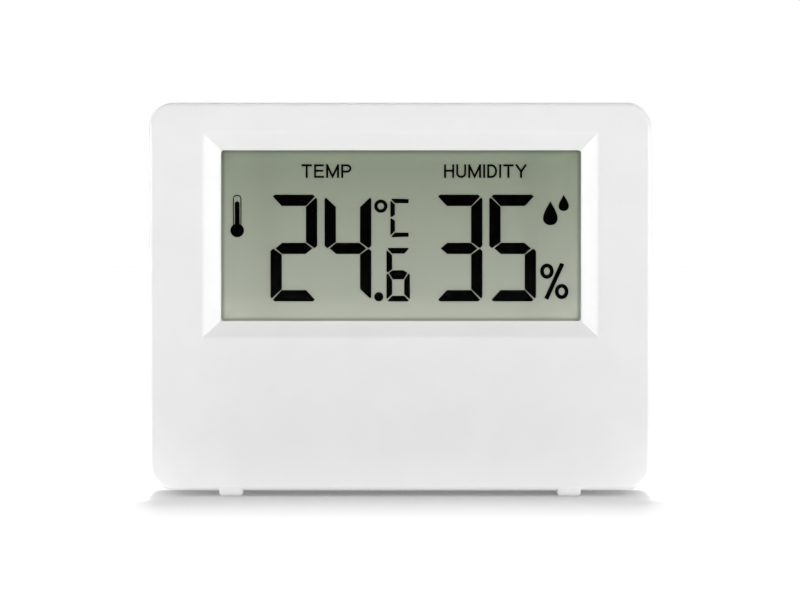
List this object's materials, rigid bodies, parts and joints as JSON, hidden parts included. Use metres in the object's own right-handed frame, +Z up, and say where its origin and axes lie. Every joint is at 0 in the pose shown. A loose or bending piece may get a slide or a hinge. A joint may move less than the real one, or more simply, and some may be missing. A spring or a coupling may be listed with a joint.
{
  "type": "digital thermometer and hygrometer",
  "caption": "Small white desk or wall thermometer and humidity meter with a recessed liquid crystal display, rear buttons, a battery door and a fold-out stand.",
  "frame": {"origin": "on the surface it stands on, under the middle of the case", "axes": "+Z up, the display faces -Y, +X to the right of someone reading it"},
  "size_m": [0.065, 0.0164, 0.051],
  "materials": {
    "white_plastic": "satin",
    "button_plastic": "satin",
    "clear_plastic": "gloss",
    "display_glass": "gloss",
    "display_film": "satin",
    "black_foam": "matte",
    "strip_rubber": "matte",
    "board_laminate": "satin",
    "black_resin": "gloss",
    "screw_steel": "satin",
    "contact_nickel": "satin",
    "sensor_plastic": "satin",
    "switch_plastic": "satin",
    "plunger_plastic": "satin",
    "capacitor_ceramic": "satin",
    "resistor_ceramic": "gloss",
    "cell_can": "satin"
  },
  "bodies": {
    "housing": {"front_cover": "white_plastic", "rear_cover": "white_plastic", "display_lens": "clear_plastic", "front_glass": "display_glass", "rear_glass": "display_glass", "front_polariser": "display_film", "rear_reflector": "display_film", "lens_tape": "black_foam", "foam_strip": "black_foam", "connector_strip": "strip_rubber", "circuit_board": "board_laminate", "chip_cover": "black_resin", "temperature_sensor": "black_resin", "case_screw_1": "screw_steel", "case_screw_2": "screw_steel", "case_screw_3": "screw_steel", "case_screw_4": "screw_steel", "clock_crystal": "screw_steel", "positive_contact": "contact_nickel", "negative_contact": "contact_nickel", "battery_spring": "contact_nickel", "humidity_sensor": "sensor_plastic", "unit_switch": "switch_plastic", "memory_switch": "switch_plastic", "capacitor_1": "capacitor_ceramic", "capacitor_2": "capacitor_ceramic", "resistor_1": "resistor_ceramic", "resistor_2": "resistor_ceramic", "battery_cell": "cell_can"},
    "stand": {"stand": "white_plastic"},
    "battery_door": {"battery_door": "white_plastic"},
    "unit_button": {"unit_button": "button_plastic", "unit_plunger": "plunger_plastic"},
    "memory_button": {"memory_button": "button_plastic", "memory_plunger": "plunger_plastic"}
  },
  "joints": [
    {"name": "stand_hinge", "type": "hinge", "parent": "housing", "child": "stand", "pos_m": [0, 0.00695, 0.0042], "axis": [-1, 0, 0], "range_deg": [0, 90]},
    {"name": "door_hinge", "type": "hinge", "parent": "housing", "child": "battery_door", "pos_m": [0, 0.00805, 0.0034], "axis": [-1, 0, 0], "range_deg": [0, 90]},
    {"name": "unit_press", "type": "slide", "parent": "housing", "child": "unit_button", "axis": [0, -1, 0], "range_m": [0, 0.0004], "stiffness_N_per_m": 2500},
    {"name": "memory_press", "type": "slide", "parent": "housing", "child": "memory_button", "axis": [0, -1, 0], "range_m": [0, 0.0004], "stiffness_N_per_m": 2500}
  ]
}
